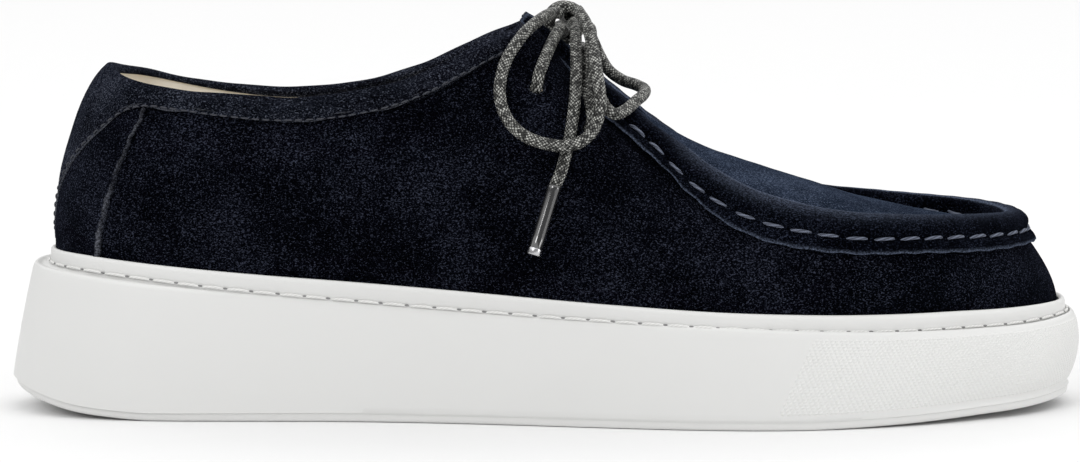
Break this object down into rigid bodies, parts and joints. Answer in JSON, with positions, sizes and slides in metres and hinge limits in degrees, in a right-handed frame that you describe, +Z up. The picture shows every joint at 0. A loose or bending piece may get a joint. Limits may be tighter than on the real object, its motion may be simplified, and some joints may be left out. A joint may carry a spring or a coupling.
{
  "type": "moccasin lace-up shoe",
  "caption": "Right low-cut suede moccasin-toe shoe with a tied round lace, padded collar band and a thick white rubber cup sole, standing empty.",
  "frame": {"origin": "centre of the sole's box, on the floor", "axes": "+X runs from heel to toe, -Y is the outer (lateral) side, +Z is up"},
  "size_m": [0.3065, 0.1067, 0.1155],
  "materials": {
    "white_rubber": "matt moulded",
    "navy_suede": "suede nap",
    "navy_suede_plug": "suede nap",
    "navy_suede_trim": "suede nap",
    "navy_suede_panel": "suede nap",
    "cream_leather": "smooth lining leather",
    "waxed_lace": "waxed braid",
    "aglet_plastic": "gloss"
  },
  "bodies": {
    "root": {"cupsole": "white_rubber", "insole": "cream_leather", "upper": "navy_suede", "apron_tongue": "navy_suede_plug", "tongue_gusset_lateral": "navy_suede_plug", "tongue_gusset_medial": "navy_suede_plug", "collar_band": "navy_suede_trim", "heel_counter_lateral": "navy_suede_panel", "heel_counter_medial": "navy_suede_panel", "lace_bar": "waxed_lace", "lace_strands": "waxed_lace", "lace_knot": "waxed_lace", "lace_loop_lateral": "waxed_lace", "lace_loop_medial": "waxed_lace", "lace_end_lateral": "waxed_lace", "lace_end_medial": "waxed_lace", "aglet_lateral": "aglet_plastic", "aglet_medial": "aglet_plastic"}
  },
  "joints": []
}
